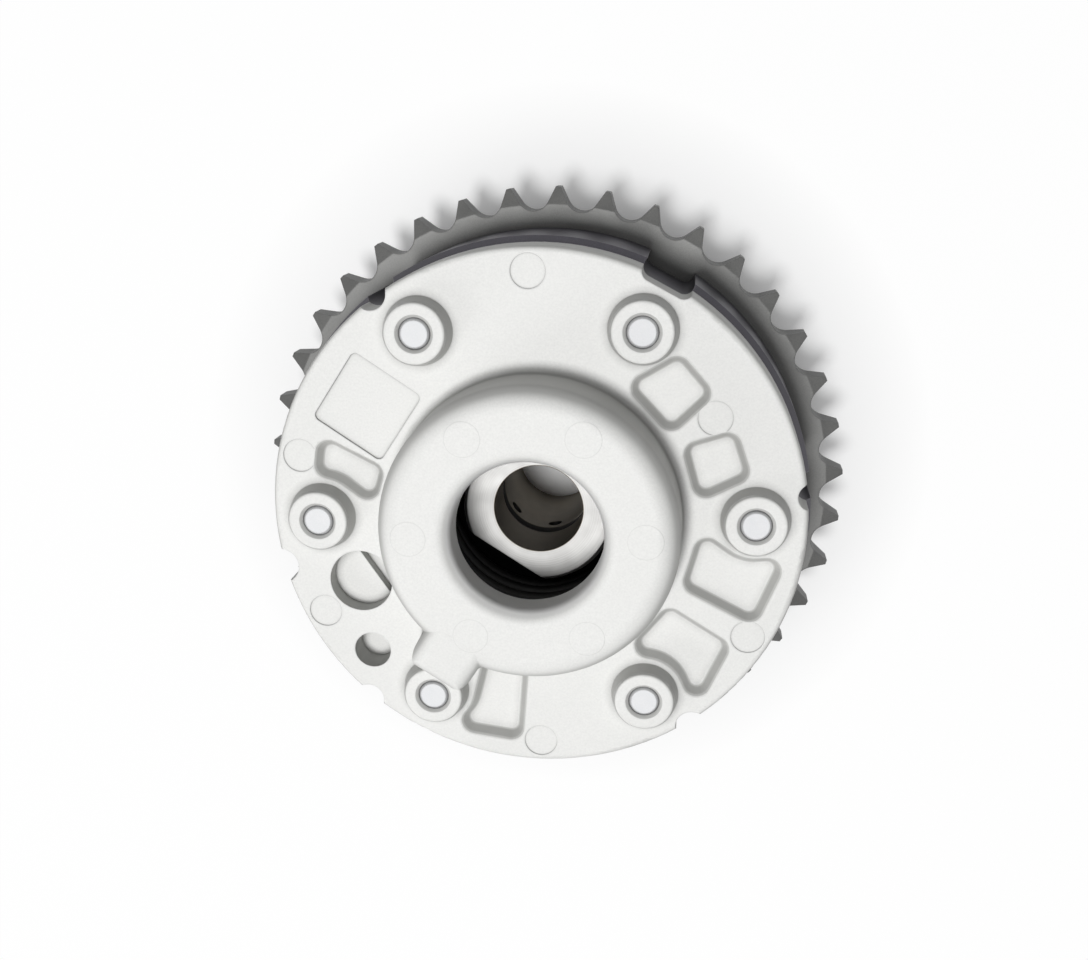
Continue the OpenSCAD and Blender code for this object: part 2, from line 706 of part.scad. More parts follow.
module lock_pin() {
    lead = 0.8;
    color("silver") polar(pin_at, pin_deg) translate([0, 0, pin_z]) difference() {
        union() {
            cylinder(r1 = pin_r - 0.5, r2 = pin_r, h = lead);
            translate([0, 0, lead]) cylinder(r = pin_r, h = pin_h - lead);
        }
        translate([0, 0, pin_well_z - pin_z]) cylinder(r = pin_well_r, h = pin_h);
    }
}

module lock_pin_spring() {
    wire_r = 0.25;
    mean_r = pin_well_r - wire_r - 0.3;
    turns = 7;
    steps = turns * 14;
    low = pin_well_z + wire_r + face_gap;
    high = plug_z - wire_r - face_gap;
    color("silver") polar(pin_at, pin_deg)
        wire([for (i = [0:steps]) coil_point(mean_r, 0, 360 * turns, low, high, i / steps)], wire_r, 6);
}

module lock_pin_plug() {
    color("silver") polar(pin_at, pin_deg) translate([0, 0, plug_z]) difference() {
        cylinder(r = pin_bore_r - seat_gap, h = plug_h - face_gap);
        translate([0, 0, -past]) cylinder(r = pin_r / 4, h = plug_h + 2 * past);
    }
}

front_cover();
stator_housing();
chain_sprocket();
housing_screws();
locating_dowels();
lock_bush();
return_spring();
rotor();
lock_pin();
lock_pin_spring();
lock_pin_plug();
for (i = [1:vane_count]) vane(i);
for (i = [1:vane_count]) vane_spring(i);
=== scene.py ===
import bpy
import math
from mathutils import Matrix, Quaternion, Vector


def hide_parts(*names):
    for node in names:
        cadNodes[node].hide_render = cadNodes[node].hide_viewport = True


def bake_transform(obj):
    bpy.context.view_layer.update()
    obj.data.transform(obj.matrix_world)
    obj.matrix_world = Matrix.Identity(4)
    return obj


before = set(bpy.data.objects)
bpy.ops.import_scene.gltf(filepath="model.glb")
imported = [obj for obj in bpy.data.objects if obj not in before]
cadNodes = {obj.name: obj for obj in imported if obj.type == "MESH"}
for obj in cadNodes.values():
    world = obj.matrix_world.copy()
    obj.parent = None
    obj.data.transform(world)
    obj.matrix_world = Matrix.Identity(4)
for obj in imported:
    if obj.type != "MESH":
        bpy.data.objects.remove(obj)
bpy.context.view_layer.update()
mm = 0.001
perMetre = 1000.0  # millimetres in a metre, for node values
print("frame loaded,", len(cadNodes), "nodes")


# small helpers for working by hand in object and edit mode
def deselectAll():
    if bpy.context.object and bpy.context.object.mode != "OBJECT":
        bpy.ops.object.mode_set(mode="OBJECT")
    bpy.ops.object.select_all(action="DESELECT")


def pick(piece):
    deselectAll()
    piece.select_set(True)
    bpy.context.view_layer.objects.active = piece


def wholeMesh(piece):
    pick(piece)
    bpy.ops.object.mode_set(mode="EDIT")
    bpy.ops.mesh.select_all(action="SELECT")


def backToObject():
    bpy.ops.object.mode_set(mode="OBJECT")


# node editing shorthands
def addNode(tree, kind, x, y, **values):
    made = tree.nodes.new(kind)
    made.location = (x, y)
    for name, value in values.items():
        setattr(made, name, value)
    return made


def wire(tree, source, target):
    tree.links.new(source, target)


# a number is set on the socket, and anything else is wired to it
def feed(tree, value, socket):
    if isinstance(value, (int, float)):
        socket.default_value = value
    else:
        wire(tree, value, socket)


def mathNode(tree, operation, x, y, first, second=None, clamp=False):
    made = addNode(tree, "ShaderNodeMath", x, y, operation=operation, use_clamp=clamp)
    feed(tree, first, made.inputs[0])
    if second is not None:
        feed(tree, second, made.inputs[1])
    return made.outputs[0]


def lengthNode(tree, x, y, first, second):
    firstSquare = mathNode(tree, "MULTIPLY", x - 160, y + 60, first, first)
    secondSquare = mathNode(tree, "MULTIPLY", x - 160, y - 100, second, second)
    return mathNode(tree, "SQRT", x, y, mathNode(tree, "ADD", x - 80, y, firstSquare, secondSquare))


def noiseNode(tree, x, y, place, scale, detail, roughness=0.5):
    made = addNode(tree, "ShaderNodeTexNoise", x, y)
    made.inputs["Detail"].default_value = detail
    made.inputs["Roughness"].default_value = roughness
    wire(tree, place, made.inputs["Vector"])
    feed(tree, scale, made.inputs["Scale"])
    return made.outputs["Fac"]


def rangeNode(tree, x, y, value, fromRange, toRange):
    made = addNode(tree, "ShaderNodeMapRange", x, y)
    wire(tree, value, made.inputs["Value"])
    for label, number in zip(("From Min", "From Max", "To Min", "To Max"), (*fromRange, *toRange)):
        made.inputs[label].default_value = number
    return made.outputs[0]


def newGroup(name, inputs, outputs):
    group = bpy.data.node_groups.new(name, "ShaderNodeTree")
    for label, kind, value in inputs:
        made = group.interface.new_socket(name=label, in_out="INPUT", socket_type=kind)
        if value is not None:
            made.default_value = value
    for label, kind in outputs:
        group.interface.new_socket(name=label, in_out="OUTPUT", socket_type=kind)
    start = addNode(group, "NodeGroupInput", -900, 0)
    end = addNode(group, "NodeGroupOutput", 700, 0)
    return group, start, end


# cast skin: a fine sand grain over broad, soft clouds
grainShape = {"grainDetail": 3.0, "grainRough": 0.65, "grainShare": 0.8,
              "cloudDetail": 5.0, "cloudRough": 0.55, "cloudShare": 0.2}


def makeCastGrain(shape):
    group, start, end = newGroup(
        "castGrain",
        [("Place", "NodeSocketVector", None),
         ("Grain Size", "NodeSocketFloat", 0.4),
         ("Cloud Size", "NodeSocketFloat", 12.0)],
        [("Grain", "NodeSocketFloat"), ("Clouds", "NodeSocketFloat"), ("Height", "NodeSocketFloat")])
    place = start.outputs["Place"]
    grainScale = mathNode(group, "DIVIDE", -680, 120, perMetre, start.outputs["Grain Size"])
    cloudScale = mathNode(group, "DIVIDE", -680, -120, perMetre, start.outputs["Cloud Size"])
    grain = noiseNode(group, -440, 160, place, grainScale, shape["grainDetail"], shape["grainRough"])
    clouds = noiseNode(group, -440, -160, place, cloudScale, shape["cloudDetail"], shape["cloudRough"])
    grainHeight = mathNode(group, "MULTIPLY", -160, 40, grain, shape["grainShare"])
    cloudHeight = mathNode(group, "MULTIPLY", -160, -220, clouds, shape["cloudShare"])
    wire(group, grain, end.inputs["Grain"])
    wire(group, clouds, end.inputs["Clouds"])
    wire(group, mathNode(group, "ADD", 220, -60, grainHeight, cloudHeight), end.inputs["Height"])
    return group


# edges: where a rounded normal leaves the true one, broken up by a noise; the mask carries worn edges, a
# painted highlight on the cover and painted shade on the screws
edgeShape = {"samples": 6, "gain": 5.0, "patchScale": 420.0, "patchDetail": 4.0}


def makeEdgeWearAndLight(shape):
    group, start, end = newGroup(
        "edgeWearAndLight",
        [("Place", "NodeSocketVector", None),
         ("Reach", "NodeSocketFloat", 0.0005),
         ("Breakup", "NodeSocketFloat", 0.5)],
        [("Edge", "NodeSocketFloat"), ("Soft Normal", "NodeSocketVector")])
    rounded = addNode(group, "ShaderNodeBevel", -660, 160, samples=shape["samples"])
    wire(group, start.outputs["Reach"], rounded.inputs["Radius"])
    surface = addNode(group, "ShaderNodeNewGeometry", -660, -60)
    meet = addNode(group, "ShaderNodeVectorMath", -420, 80, operation="DOT_PRODUCT")
    wire(group, rounded.outputs["Normal"], meet.inputs[0])
    wire(group, surface.outputs["Normal"], meet.inputs[1])
    bent = mathNode(group, "SUBTRACT", -240, 80, 1.0, meet.outputs["Value"])
    away = mathNode(group, "MULTIPLY", -60, 80, bent, shape["gain"], clamp=True)
    patches = noiseNode(group, -420, -220, start.outputs["Place"], shape["patchScale"], shape["patchDetail"])
    broken = mathNode(group, "MULTIPLY", -60, -200, patches, start.outputs["Breakup"])
    held = mathNode(group, "SUBTRACT", 120, -160, 1.0, broken)
    wire(group, mathNode(group, "MULTIPLY", 320, 40, away, held, clamp=True), end.inputs["Edge"])
    wire(group, rounded.outputs["Normal"], end.inputs["Soft Normal"])
    return group


# painted shade in the creases and beside neighbouring parts: darker where the surface near a point closes in
# on it
creaseShape = {"samples": 8, "patchScale": 300.0, "patchDetail": 3.0, "patchFloor": 0.5}


def makeCreaseShade(shape):
    group, start, end = newGroup(
        "creaseShade",
        [("Place", "NodeSocketVector", None),
         ("Reach", "NodeSocketFloat", 0.0015),
         ("Strength", "NodeSocketFloat", 1.5)],
        [("Crease", "NodeSocketFloat")])
    closeness = addNode(group, "ShaderNodeAmbientOcclusion", -520, 120, samples=shape["samples"])
    wire(group, start.outputs["Reach"], closeness.inputs["Distance"])
    patches = noiseNode(group, -520, -160, start.outputs["Place"], shape["patchScale"], shape["patchDetail"])
    hidden = mathNode(group, "SUBTRACT", -260, 120, 1.0, closeness.outputs["AO"])
    shut = mathNode(group, "MULTIPLY", -120, 120, hidden, start.outputs["Strength"])
    uneven = mathNode(group, "ADD", -260, -160, patches, shape["patchFloor"])
    wire(group, mathNode(group, "MULTIPLY", 60, 40, shut, uneven, clamp=True), end.inputs["Crease"])
    return group


# painted shade on the steep walls: darker where the surface turns from facing up towards upright, mottled by
# a noise
wallShape = {"patchScale": 220.0, "patchDetail": 4.0, "patchShare": 0.4, "patchFloor": 0.8}


def makeWallShade(shape):
    group, start, end = newGroup(
        "wallShade",
        [("Place", "NodeSocketVector", None),
         ("Flat", "NodeSocketFloat", 0.97),
         ("Steep", "NodeSocketFloat", 0.55)],
        [("Wall", "NodeSocketFloat")])
    surface = addNode(group, "ShaderNodeNewGeometry", -700, 120)
    parts = addNode(group, "ShaderNodeSeparateXYZ", -520, 120)
    wire(group, surface.outputs["Normal"], parts.inputs[0])
    upright = mathNode(group, "ABSOLUTE", -340, 120, parts.outputs["Z"])
    wall = addNode(group, "ShaderNodeMapRange", -120, 120, interpolation_type="SMOOTHSTEP")
    wire(group, upright, wall.inputs["Value"])
    wire(group, start.outputs["Flat"], wall.inputs["From Min"])
    wire(group, start.outputs["Steep"], wall.inputs["From Max"])
    patches = noiseNode(group, -340, -160, start.outputs["Place"], shape["patchScale"], shape["patchDetail"])
    mottled = mathNode(group, "MULTIPLY", -220, -160, patches, shape["patchShare"])
    uneven = mathNode(group, "ADD", -120, -160, mottled, shape["patchFloor"])
    wire(group, mathNode(group, "MULTIPLY", 220, 40, wall.outputs[0], uneven, clamp=True), end.inputs["Wall"])
    return group


# turning marks: fine rings round the axis of the part, with the place from and along that axis in mm
ringShape = {"scale": 1.0, "detail": 2.0}


def makeTurnedRings(shape):
    group, start, end = newGroup(
        "turnedRings",
        [("Place", "NodeSocketVector", None), ("Ring Pitch", "NodeSocketFloat", 0.12)],
        [("Rings", "NodeSocketFloat"), ("From Axis", "NodeSocketFloat"), ("Along Axis", "NodeSocketFloat")])
    parts = addNode(group, "ShaderNodeSeparateXYZ", -680, 40)
    wire(group, start.outputs["Place"], parts.inputs[0])
    reach = lengthNode(group, -120, 120, parts.outputs["X"], parts.outputs["Y"])
    fromAxis = mathNode(group, "MULTIPLY", 40, 120, reach, perMetre)
    alongAxis = mathNode(group, "MULTIPLY", -300, -160, parts.outputs["Z"], perMetre)
    track = mathNode(group, "ADD", 200, 40, fromAxis, alongAxis)
    rings = addNode(group, "ShaderNodeTexNoise", 460, 160, noise_dimensions="1D")
    rings.inputs["Scale"].default_value = shape["scale"]
    rings.inputs["Detail"].default_value = shape["detail"]
    wire(group, mathNode(group, "DIVIDE", 320, -80, track, start.outputs["Ring Pitch"]), rings.inputs["W"])
    wire(group, rings.outputs["Fac"], end.inputs["Rings"])
    wire(group, fromAxis, end.inputs["From Axis"])
    wire(group, alongAxis, end.inputs["Along Axis"])
    return group


# ejector pin marks: soft-edged discs on a circle round the axis, above one level
pinShape = {"pins": 6, "edgeGain": 8.0, "edgeMiddle": 0.5, "rimGain": 4.0}


def makePinMarks(shape):
    group, start, end = newGroup(
        "pinMarks",
        [("Place", "NodeSocketVector", None),
         ("Circle", "NodeSocketFloat", 18.0),
         ("Pin", "NodeSocketFloat", 2.75),
         ("Above", "NodeSocketFloat", 48.0)],
        [("Disc", "NodeSocketFloat"), ("Rim", "NodeSocketFloat")])
    parts = addNode(group, "ShaderNodeSeparateXYZ", -700, 40)
    wire(group, start.outputs["Place"], parts.inputs[0])
    across = mathNode(group, "MULTIPLY", -540, 160, parts.outputs["X"], perMetre)
    up = mathNode(group, "MULTIPLY", -540, 0, parts.outputs["Y"], perMetre)
    high = mathNode(group, "MULTIPLY", -540, -160, parts.outputs["Z"], perMetre)
    fromAxis = lengthNode(group, -220, 160, across, up)
    # the angle is folded onto the nearest pin's
    pinPitch = math.tau / shape["pins"]
    turn = mathNode(group, "ARCTAN2", -380, -60, up, across)
    nearest = mathNode(group, "ROUND", -220, -160, mathNode(group, "DIVIDE", -300, -160, turn, pinPitch))
    pinTurn = mathNode(group, "MULTIPLY", -140, -160, nearest, pinPitch)
    folded = mathNode(group, "SUBTRACT", -60, -60, turn, pinTurn)
    outward = mathNode(group, "MULTIPLY", 40, 160, fromAxis, mathNode(group, "COSINE", 0, 60, folded))
    pastCircle = mathNode(group, "SUBTRACT", 120, 160, outward, start.outputs["Circle"])
    sideways = mathNode(group, "MULTIPLY", 120, 0, fromAxis, mathNode(group, "SINE", 0, -40, folded))
    away = lengthNode(group, 280, 80, pastCircle, sideways)
    inside = mathNode(group, "SUBTRACT", 340, 80, start.outputs["Pin"], away)
    edge = mathNode(group, "MULTIPLY", 420, 80, inside, shape["edgeGain"])
    disc = mathNode(group, "ADD", 480, 80, edge, shape["edgeMiddle"], clamp=True)
    onTop = mathNode(group, "GREATER_THAN", 420, -160, high, start.outputs["Above"])
    shown = mathNode(group, "MULTIPLY", 540, 40, disc, onTop)
    outside = mathNode(group, "SUBTRACT", 540, -120, 1.0, disc)
    overlap = mathNode(group, "MULTIPLY", 580, -60, shown, outside)
    wire(group, shown, end.inputs["Disc"])
    wire(group, mathNode(group, "MULTIPLY", 620, -60, overlap, shape["rimGain"]), end.inputs["Rim"])
    return group


castGrain = makeCastGrain(grainShape)
edgeWearAndLight = makeEdgeWearAndLight(edgeShape)
creaseShade = makeCreaseShade(creaseShape)
wallShade = makeWallShade(wallShape)
turnedRings = makeTurnedRings(ringShape)
pinMarks = makePinMarks(pinShape)
print("shared effects ready")


# shorthands for a material's own tree
def newFinish(name, **shaderValues):
    finish = bpy.data.materials.new(name)
    finish.use_nodes = True
    tree = finish.node_tree
    shader = tree.nodes["Principled BSDF"]
    for label, value in shaderValues.items():
        shader.inputs[label].default_value = value
    place = addNode(tree, "ShaderNodeTexCoord", -1500, 0)
    return finish, tree, shader, place.outputs["Object"]


def useGroup(tree, group, x, y, place, **values):
    made = addNode(tree, "ShaderNodeGroup", x, y, node_tree=group)
    wire(tree, place, made.inputs["Place"])
    for label, value in values.items():
        made.inputs[label.replace("_", " ")].default_value = value
    return made


def mixColour(tree, x, y, share, first, second):
    made = addNode(tree, "ShaderNodeMix", x, y, data_type="RGBA", clamp_factor=True)
    wire(tree, share, made.inputs["Factor"])
    for socket, value in ((made.inputs[6], first), (made.inputs[7], second)):
        if isinstance(value, tuple):
            socket.default_value = (*value, 1.0)
        else:
            wire(tree, value, socket)
    return made.outputs[2]


noiseRange = (0.3, 0.7)  # most of a noise lies between these


def spread(tree, x, y, noise, low, high):
    return rangeNode(tree, x, y, noise, noiseRange, (low, high))


def bumpNode(tree, x, y, height, strength, distance, normal):
    made = addNode(tree, "ShaderNodeBump", x, y)
    made.inputs["Strength"].default_value = strength
    made.inputs["Distance"].default_value = distance
    wire(tree, height, made.inputs["Height"])
    wire(tree, normal, made.inputs["Normal"])
    return made.outputs["Normal"]


def madeSoFar(shader, label):
    return shader.inputs[label].links[0].from_socket


# a finish with a grain, clouds and edges in their own tone (wear on most metals, wear with a painted
# highlight on the cover, painted shade on the screws), used with its own values by most of the metal here
wearLook = {"breakup": 0.5, "roughSpread": 0.05, "wornPolish": 0.08}


def metalFinish(name, look):
    finish, tree, shader, place = newFinish(name, Metallic=look["metallic"])
    grain = useGroup(tree, castGrain, -1200, 200, place, Grain_Size=look["grain"], Cloud_Size=look["clouds"])
    edgeShare = useGroup(tree, edgeWearAndLight, -1200, -200, place, Reach=look["edge"] * mm, Breakup=wearLook["breakup"])
    cloudShare = spread(tree, -1040, 320, grain.outputs["Clouds"], 0.0, 1.0)
    tone = mixColour(tree, -900, 260, cloudShare, look["dark"], look["light"])
    fleckShare = spread(tree, -860, 100, grain.outputs["Grain"], 0.0, look["speckle"])
    speckled = mixColour(tree, -700, 260, fleckShare, tone, look["fleck"])
    # edges mixed towards their own tone: wear, plus a painted highlight on the cover and painted shade on the
    # screws
    shown = mixColour(tree, -480, 260, edgeShare.outputs["Edge"], speckled, look["edgeWearAndPaintedLightTone"])
    # painted shade in the creases and beside neighbouring parts
    if "creaseReach" in look:
        crease = useGroup(tree, creaseShade, -700, 520, place,
                          Reach=look["creaseReach"] * mm, Strength=look["crease"])
        shown = mixColour(tree, -300, 420, crease.outputs["Crease"], shown, look["creaseShadeTone"])
    wire(tree, shown, shader.inputs["Base Color"])
    rough = spread(tree, -700, -40, grain.outputs["Clouds"],
                   look["rough"] - wearLook["roughSpread"], look["rough"] + wearLook["roughSpread"])
    polish = mathNode(tree, "MULTIPLY", -700, -240, edgeShare.outputs["Edge"], wearLook["wornPolish"])
    wire(tree, mathNode(tree, "SUBTRACT", -480, -40, rough, polish), shader.inputs["Roughness"])
    grained = bumpNode(tree, -480, -300, grain.outputs["Height"], look["bump"], look["bumpDepth"] * mm,
                       edgeShare.outputs["Soft Normal"])
    wire(tree, grained, shader.inputs["Normal"])
    return finish


# the cast skin, with painted shade on the steep walls, the ejector pins' marks on the boss and a machined
# mouth
castLook = {
    "metallic": 0.0, "rough": 0.55, "grain": 0.35, "clouds": 14.0, "bump": 0.3, "bumpDepth": 0.02,
    "dark": (0.78, 0.78, 0.76), "light": (0.84, 0.84, 0.82), "wallShadeTone": (0.47, 0.47, 0.455),
    # edges painted lighter: partly wear, partly a painted highlight along the rims
    "speckle": 0.4, "fleck": (0.64, 0.64, 0.63), "edge": 0.4, "edgeWearAndPaintedLightTone": (0.87, 0.87, 0.86),
    "creaseReach": 1.6, "crease": 1.4, "creaseShadeTone": (0.26, 0.26, 0.25),
    "mouthCut": 12.3, "mouthBlend": 0.5, "mouthTone": (0.76, 0.76, 0.75),
    "mouthMetal": 0.3, "mouthPolish": 0.10,
    "markCircle": 18.2, "markRadius": 2.75, "markAbove": 48.15,
    "markLine": 0.35, "markTone": (0.55, 0.55, 0.54), "markBump": 1.0, "markStep": 0.03}


def coverFinish(name, look):
    finish = metalFinish(name, look)
    tree = finish.node_tree
    shader = tree.nodes["Principled BSDF"]
    coordinates = next(node for node in tree.nodes if node.bl_idname == "ShaderNodeTexCoord")
    place = coordinates.outputs["Object"]
    # painted shade on the steep walls
    wall = useGroup(tree, wallShade, -700, 760, place)
    wallShaded = mixColour(tree, -400, 640, wall.outputs["Wall"], madeSoFar(shader, "Base Color"), look["wallShadeTone"])
    marks = useGroup(tree, pinMarks, -700, -520, place,
                     Circle=look["markCircle"], Pin=look["markRadius"], Above=look["markAbove"])
    line = mathNode(tree, "MULTIPLY", -480, -520, marks.outputs["Rim"], look["markLine"])
    marked = mixColour(tree, -240, 260, line, wallShaded, look["markTone"])
    stepped = bumpNode(tree, -240, -400, marks.outputs["Disc"], look["markBump"], look["markStep"] * mm,
                       madeSoFar(shader, "Normal"))
    wire(tree, stepped, shader.inputs["Normal"])
    turned = useGroup(tree, turnedRings, -700, -760, place)
    cut = rangeNode(tree, -480, -760, turned.outputs["From Axis"],
                    (look["mouthCut"], look["mouthCut"] + look["mouthBlend"]), (1.0, 0.0))
    wire(tree, mixColour(tree, -60, 260, cut, marked, look["mouthTone"]), shader.inputs["Base Color"])
    wire(tree, mathNode(tree, "MULTIPLY", -240, -760, cut, look["mouthMetal"]), shader.inputs["Metallic"])
    polish = mathNode(tree, "MULTIPLY", -240, -900, cut, look["mouthPolish"])
    smoothed = mathNode(tree, "SUBTRACT", -60, -40, madeSoFar(shader, "Roughness"), polish)
    wire(tree, smoothed, shader.inputs["Roughness"])
    return finish


castSkin = coverFinish("castSkin", castLook)

statorLook = {
    "metallic": 0.8, "rough": 0.45, "grain": 0.25, "clouds": 9.0, "bump": 0.25, "bumpDepth": 0.02,
    "dark": (0.055, 0.052, 0.063), "light": (0.085, 0.08, 0.097),
    "speckle": 0.5, "fleck": (0.035, 0.035, 0.04), "edge": 0.25, "edgeWearAndPaintedLightTone": (0.17, 0.165, 0.18),
    "creaseReach": 4.0, "crease": 1.2, "creaseShadeTone": (0.012, 0.012, 0.013)}
statorSteel = metalFinish("statorSteel", statorLook)

sprocketLook = {
    "metallic": 0.85, "rough": 0.5, "grain": 0.22, "clouds": 8.0, "bump": 0.3, "bumpDepth": 0.02,
    "dark": (0.098, 0.098, 0.095), "light": (0.136, 0.136, 0.132),
    "speckle": 0.5, "fleck": (0.07, 0.07, 0.07), "edge": 0.3, "edgeWearAndPaintedLightTone": (0.22, 0.22, 0.22),
    "creaseReach": 5.0, "crease": 0.6, "creaseShadeTone": (0.025, 0.025, 0.025)}
sprocketSteel = metalFinish("sprocketSteel", sprocketLook)

zincLook = {
    "metallic": 0.2, "rough": 0.68, "grain": 0.15, "clouds": 3.0, "bump": 0.2, "bumpDepth": 0.01,
    "dark": (0.66, 0.67, 0.68), "light": (0.77, 0.77, 0.78),
    # edges painted near black: painted shade of the gap round each screw tip
    "speckle": 0.4, "fleck": (0.52, 0.53, 0.54), "edge": 0.35, "edgeWearAndPaintedLightTone": (0.09, 0.09, 0.095),
    "creaseReach": 0.8, "crease": 1.6, "creaseShadeTone": (0.08, 0.08, 0.08)}
zincPlate = metalFinish("zincPlate", zincLook)

groundLook = {
    "metallic": 1.0, "rough": 0.24, "grain": 0.12, "clouds": 4.0, "bump": 0.1, "bumpDepth": 0.005,
    "dark": (0.52, 0.52, 0.53), "light": (0.62, 0.62, 0.63),
    "speckle": 0.2, "fleck": (0.44, 0.44, 0.45), "edge": 0.15, "edgeWearAndPaintedLightTone": (0.75, 0.75, 0.76)}
groundSteel = metalFinish("groundSteel", groundLook)

# black spring wire, darkened further as painted shade of the spring pocket
springLook = {
    "metallic": 0.3, "rough": 0.62, "grain": 0.2, "clouds": 5.0, "bump": 0.2, "bumpDepth": 0.01,
    "dark": (0.012, 0.012, 0.012), "light": (0.024, 0.023, 0.022),
    "speckle": 0.4, "fleck": (0.008, 0.008, 0.008), "edge": 0.2, "edgeWearAndPaintedLightTone": (0.05, 0.048, 0.046)}
springWire = metalFinish("springWire", springLook)

vaneLook = {
    "metallic": 1.0, "rough": 0.28, "grain": 0.12, "clouds": 6.0, "bump": 0.1, "bumpDepth": 0.006,
    "dark": (0.40, 0.40, 0.41), "light": (0.50, 0.50, 0.51),
    "speckle": 0.25, "fleck": (0.32, 0.32, 0.33), "edge": 0.2, "edgeWearAndPaintedLightTone": (0.66, 0.66, 0.67)}
vaneSteel = metalFinish("vaneSteel", vaneLook)

leafLook = {
    "metallic": 1.0, "rough": 0.22, "grain": 0.1, "clouds": 3.0, "bump": 0.08, "bumpDepth": 0.004,
    "dark": (0.42, 0.43, 0.46), "light": (0.50, 0.51, 0.54),
    "speckle": 0.2, "fleck": (0.34, 0.35, 0.37), "edge": 0.1, "edgeWearAndPaintedLightTone": (0.62, 0.63, 0.66)}
leafSteel = metalFinish("leafSteel", leafLook)

# turned steel, with the bolt bore's wall oiled brown and darkened as painted shade, and painted black shade
# in the spring pocket and the bore groove
rotorLook = {
    "steel": (0.37, 0.367, 0.36), "steelDark": (0.32, 0.317, 0.31), "ringPitch": 0.16,
    "bore": (0.15, 0.135, 0.112), "boreLight": (0.24, 0.216, 0.18), "boreEdge": 7.42, "boreBlend": 0.06,
    "noseShade": 31.2, "noseBlend": 0.5, "pocketFloor": 23.0, "pocketEdge": 19.2,
    "rearFace": 1.0, "grooveEdge": 9.0, "grooveShade": 0.8, "shadeBlack": (0.012, 0.012, 0.012),
    "grain": 0.2, "clouds": 7.0, "edge": 0.2, "breakup": 0.4,
    "rough": (0.51, 0.62), "bump": 0.12, "bumpDepth": 0.01}


def rotorFinish(name, look):
    finish, tree, shader, place = newFinish(name, Metallic=1.0)
    turned = useGroup(tree, turnedRings, -1200, 300, place, Ring_Pitch=look["ringPitch"])
    grain = useGroup(tree, castGrain, -1200, 0, place, Grain_Size=look["grain"], Cloud_Size=look["clouds"])
    edgeShare = useGroup(tree, edgeWearAndLight, -1200, -300, place, Reach=look["edge"] * mm, Breakup=look["breakup"])
    fromAxis = turned.outputs["From Axis"]
    alongAxis = turned.outputs["Along Axis"]
    ringShare = spread(tree, -1000, 420, turned.outputs["Rings"], 0.0, 1.0)
    steel = mixColour(tree, -860, 360, ringShare, look["steelDark"], look["steel"])
    cloudShare = spread(tree, -1000, 120, grain.outputs["Clouds"], 0.0, 1.0)
    # the bore wall: oiled brown, kept dark as painted shade of the deep bore
    oiledShadedBore = mixColour(tree, -860, 120, cloudShare, look["bore"], look["boreLight"])
    boreRange = (look["boreEdge"], look["boreEdge"] + look["boreBlend"])
    inBore = rangeNode(tree, -860, -100, fromAxis, boreRange, (1.0, 0.0))
    noseRange = (look["noseShade"], look["noseShade"] - look["noseBlend"])
    deep = rangeNode(tree, -860, -360, alongAxis, noseRange, (0.0, 1.0))
    aboveFloor = mathNode(tree, "GREATER_THAN", -860, -560, alongAxis, look["pocketFloor"])
    withinWall = mathNode(tree, "LESS_THAN", -860, -720, fromAxis, look["pocketEdge"])
    pocket = mathNode(tree, "MULTIPLY", -700, -560, aboveFloor, withinWall)
    # painted shade: black on the rotor below the nose, in the spring pocket
    inPocket = mathNode(tree, "MULTIPLY", -540, -360, deep, pocket)
    # painted shade: black, in part, in the bore groove
    aboveRear = mathNode(tree, "GREATER_THAN", -860, -880, alongAxis, look["rearFace"])
    nearBore = mathNode(tree, "LESS_THAN", -860, -1040, fromAxis, look["grooveEdge"])
    groove = mathNode(tree, "MULTIPLY", -700, -880, aboveRear, nearBore)
    grooveDeep = mathNode(tree, "MULTIPLY", -700, -720, deep, look["grooveShade"])
    inGroove = mathNode(tree, "MULTIPLY", -540, -720, grooveDeep, groove)
    paintedShadeShare = mathNode(tree, "MAXIMUM", -380, -520, inPocket, inGroove)
    shadePainted = mixColour(tree, -700, 360, paintedShadeShare, steel, look["shadeBlack"])
    wire(tree, mixColour(tree, -600, 240, inBore, shadePainted, oiledShadedBore), shader.inputs["Base Color"])
    wire(tree, spread(tree, -600, -60, grain.outputs["Clouds"], *look["rough"]), shader.inputs["Roughness"])
    ringed = bumpNode(tree, -600, -300, turned.outputs["Rings"], look["bump"], look["bumpDepth"] * mm,
                      edgeShare.outputs["Soft Normal"])
    wire(tree, ringed, shader.inputs["Normal"])
    return finish


rotorSteel = rotorFinish("rotorSteel", rotorLook)
print("finishes ready")


def setFinish(piece, finish):
    piece.data.materials.clear()
    piece.data.materials.append(finish)
    for face in piece.data.polygons:
        face.material_index = 0


def selectPoints(piece, wanted):
    deselectAll()
    for part in (piece.data.polygons, piece.data.edges, piece.data.vertices):
        part.foreach_set("select", [False] * len(part))
    for point in piece.data.vertices:
        point.select = wanted(point.co / mm)
    pick(piece)
    bpy.ops.object.mode_set(mode="EDIT")
    bpy.ops.mesh.select_mode(type="VERT")


def polarPlace(distance, degrees, z=0.0):
    turn = math.radians(degrees)
    return Vector((distance * math.cos(turn), distance * math.sin(turn), z))


# the torsion spring: a ring swept into a coil, then each end bent out into its leg
springShape = {
    "coilR": 15.8, "wireR": 1.2, "bendR": 2.16, "topZ": 42.0, "lowZ": 25.15,
    "fromDeg": -118.523, "toDeg": 9.096, "turns": 5, "topLegR": 24.9, "lowLegR": 21.0, "endInset": 0.3,
    "sides": 20, "stepsPerTurn": 48, "bendSteps": 8, "endReach": 1.02, "smoothDeg": 40, "restZ": (40.7, 26.4)}


